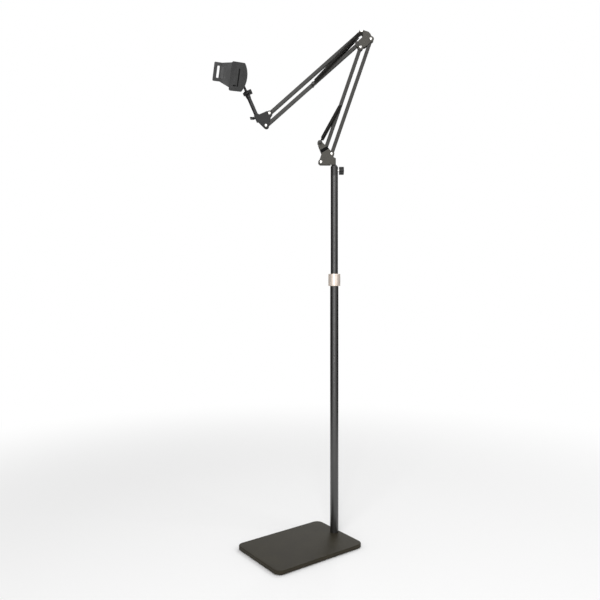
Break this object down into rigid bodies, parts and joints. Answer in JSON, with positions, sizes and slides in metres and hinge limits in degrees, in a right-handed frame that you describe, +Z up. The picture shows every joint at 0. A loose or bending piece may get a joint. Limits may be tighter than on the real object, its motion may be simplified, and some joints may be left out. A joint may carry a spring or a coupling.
{
  "type": "adjustable tablet floor stand",
  "caption": "Weighted base with a telescopic pole, a spring-balanced folding arm and a sprung clamp on a ball joint that holds a tablet or phone.",
  "frame": {"origin": "centre of the base's underside, on the floor", "axes": "+Z up along the pole; +X from the base's centre towards the short edge that the pole stands near; +Y to the left of +X seen from above"},
  "size_m": [0.4145, 0.3024, 1.5164],
  "materials": {
    "base_paint": "satin dark grey-brown powder coat",
    "base_foam": "matt black foam",
    "pole_paint": "semi-gloss black enamel",
    "pole_head_metal": "satin black on a turned piece",
    "collar_chrome": "bright, slightly warm",
    "black_plastic": "moulded, fine texture",
    "arm_paint": "satin grey paint",
    "bracket_paint": "satin warm grey paint",
    "label_black": "bare black band",
    "bright_screws": "nickel plated",
    "dark_steel": "black oxide",
    "spring_wire": "oiled dark spring steel",
    "spigot_steel": "turned steel",
    "rod_steel": "satin dark grey",
    "clamp_plastic": "charcoal, moulded",
    "pad_rubber": "soft, matt"
  },
  "bodies": {
    "stand": {"base_plate": "base_paint", "base_pad": "base_foam", "foot_bolt": "bright_screws", "foot_insert": "spigot_steel", "lower_tube": "pole_paint", "pole_collet": "black_plastic"},
    "collar": {"lock_collar": "collar_chrome", "collar_screw": "bright_screws"},
    "upper_pole": {"upper_tube": "pole_paint", "guide_bush": "black_plastic", "pole_head": "pole_head_metal"},
    "head_clamp": {"head_screw": "bright_screws", "head_knob": "black_plastic"},
    "arm_base": {"swivel_washer": "black_plastic", "arm_spigot": "spigot_steel", "arm_bracket": "bracket_paint", "bracket_band": "label_black", "bracket_bolts": "bright_screws", "bracket_nuts": "bright_screws", "spring_studs": "dark_steel", "lower_spring_near": "spring_wire", "lower_spring_far": "spring_wire"},
    "lower_left": {"lower_arm_left": "arm_paint", "lower_left_bushes": "black_plastic", "lower_anchor_pin": "dark_steel"},
    "lower_right": {"lower_arm_right": "arm_paint", "lower_right_bushes": "black_plastic"},
    "elbow": {"elbow_plate_near": "bracket_paint", "elbow_plate_far": "bracket_paint", "elbow_bolts": "bright_screws", "elbow_nuts": "bright_screws", "elbow_rivet": "dark_steel", "elbow_spring_bolt": "bright_screws", "upper_spring_near": "spring_wire", "upper_spring_far": "spring_wire"},
    "upper_top": {"upper_arm_top": "arm_paint", "upper_top_bushes": "black_plastic"},
    "upper_bottom": {"upper_arm_bottom": "arm_paint", "upper_bottom_bushes": "black_plastic", "upper_anchor_pin": "dark_steel"},
    "wrist": {"wrist_plate_near": "bracket_paint", "wrist_plate_far": "bracket_paint", "wrist_bolts": "bright_screws", "wrist_nuts": "bright_screws", "wrist_socket": "bracket_paint"},
    "wing": {"wing_screw": "black_plastic"},
    "rod": {"clamp_rod": "rod_steel", "rod_fork": "rod_steel"},
    "hinge_screw": {"hinge_bolt": "dark_steel", "hinge_knob": "black_plastic"},
    "stem": {"ball_stem": "rod_steel"},
    "ring": {"socket_ring": "clamp_plastic"},
    "clamp": {"ball_socket": "clamp_plastic", "clamp_housing": "clamp_plastic", "cover_screws": "dark_steel", "front_plate": "clamp_plastic", "front_pad": "pad_rubber", "fixed_jaw": "clamp_plastic", "jaw_springs": "spring_wire"},
    "jaw": {"sliding_jaw": "clamp_plastic"}
  },
  "joints": [
    {"name": "collar_twist", "type": "hinge", "parent": "stand", "child": "collar", "pos_m": [0.1285, 0, 0.768], "axis": [0, 0, 1], "range_deg": [0, 90]},
    {"name": "pole_height", "type": "slide", "parent": "stand", "child": "upper_pole", "axis": [0, 0, 1], "range_m": [-0.28, 0.12]},
    {"name": "head_knob_turn", "type": "hinge", "parent": "upper_pole", "child": "head_clamp", "pos_m": [0.14008, -0.00856, 1.0955], "axis": [0.8039, -0.5948, 0], "continuous": true},
    {"name": "arm_swivel", "type": "hinge", "parent": "upper_pole", "child": "arm_base", "pos_m": [0.1285, 0, 1.1125], "axis": [0, 0, 1], "continuous": true},
    {"name": "lower_arm_pitch", "type": "hinge", "parent": "arm_base", "child": "lower_left", "pos_m": [0.09627, 0.02385, 1.1207], "axis": [-0.5948, -0.8039, 0], "range_deg": [-15, 35], "deforming": ["lower_spring_near", "lower_spring_far"]},
    {"name": "lower_right_pitch", "type": "hinge", "parent": "arm_base", "child": "lower_right", "pos_m": [0.12177, 0.00498, 1.14505], "axis": [-0.5948, -0.8039, 0], "range_deg": [-15, 35]},
    {"name": "elbow_level", "type": "hinge", "parent": "lower_left", "child": "elbow", "pos_m": [0.19127, -0.04645, 1.46392], "axis": [-0.5948, -0.8039, 0], "range_deg": [-35, 15]},
    {"name": "upper_arm_pitch", "type": "hinge", "parent": "elbow", "child": "upper_top", "pos_m": [0.193, -0.04773, 1.51], "axis": [-0.5948, -0.8039, 0], "range_deg": [-60, 8], "deforming": ["upper_spring_near", "upper_spring_far"]},
    {"name": "upper_bottom_pitch", "type": "hinge", "parent": "elbow", "child": "upper_bottom", "pos_m": [0.18489, -0.04173, 1.47337], "axis": [-0.5948, -0.8039, 0], "range_deg": [-60, 8]},
    {"name": "wrist_level", "type": "hinge", "parent": "upper_top", "child": "wrist", "pos_m": [-0.02761, 0.11552, 1.26634], "axis": [-0.5948, -0.8039, 0], "range_deg": [-8, 60]},
    {"name": "rod_turn", "type": "hinge", "parent": "wrist", "child": "rod", "pos_m": [-0.05953, 0.13914, 1.26273], "axis": [-0.3218, 0.2381, 0.9164], "continuous": true},
    {"name": "wing_screw_turn", "type": "hinge", "parent": "wrist", "child": "wing", "pos_m": [-0.05606, 0.13656, 1.25284], "axis": [-0.8039, 0.5948, 0], "continuous": true},
    {"name": "stem_tilt", "type": "hinge", "parent": "rod", "child": "stem", "pos_m": [-0.08238, 0.15604, 1.32779], "axis": [0.7366, -0.5451, 0.4003], "range_deg": [-110, 50]},
    {"name": "hinge_knob_turn", "type": "hinge", "parent": "rod", "child": "hinge_screw", "pos_m": [-0.08238, 0.15604, 1.32779], "axis": [0.7366, -0.5451, 0.4003], "continuous": true},
    {"name": "ball_tilt", "type": "hinge", "parent": "stem", "child": "ring", "pos_m": [-0.1083, 0.14724, 1.36351], "axis": [0.1542, -0.9089, -0.3875], "range_deg": [-36, 12]},
    {"name": "clamp_spin", "type": "hinge", "parent": "ring", "child": "clamp", "pos_m": [-0.1083, 0.14724, 1.36351], "axis": [0.7487, 0.3634, -0.5544], "continuous": true},
    {"name": "jaw_slide", "type": "slide", "parent": "clamp", "child": "jaw", "axis": [-0.1542, 0.9089, 0.3875], "range_m": [0, 0.055], "stiffness_N_per_m": 150, "springref_m": -0.05, "deforming": ["jaw_springs"]}
  ],
  "couplings": [
    {"joint": "lower_right_pitch", "follows": "lower_arm_pitch", "ratio": 1},
    {"joint": "elbow_level", "follows": "lower_arm_pitch", "ratio": -1},
    {"joint": "upper_bottom_pitch", "follows": "upper_arm_pitch", "ratio": 1},
    {"joint": "wrist_level", "follows": "upper_arm_pitch", "ratio": -1}
  ]
}
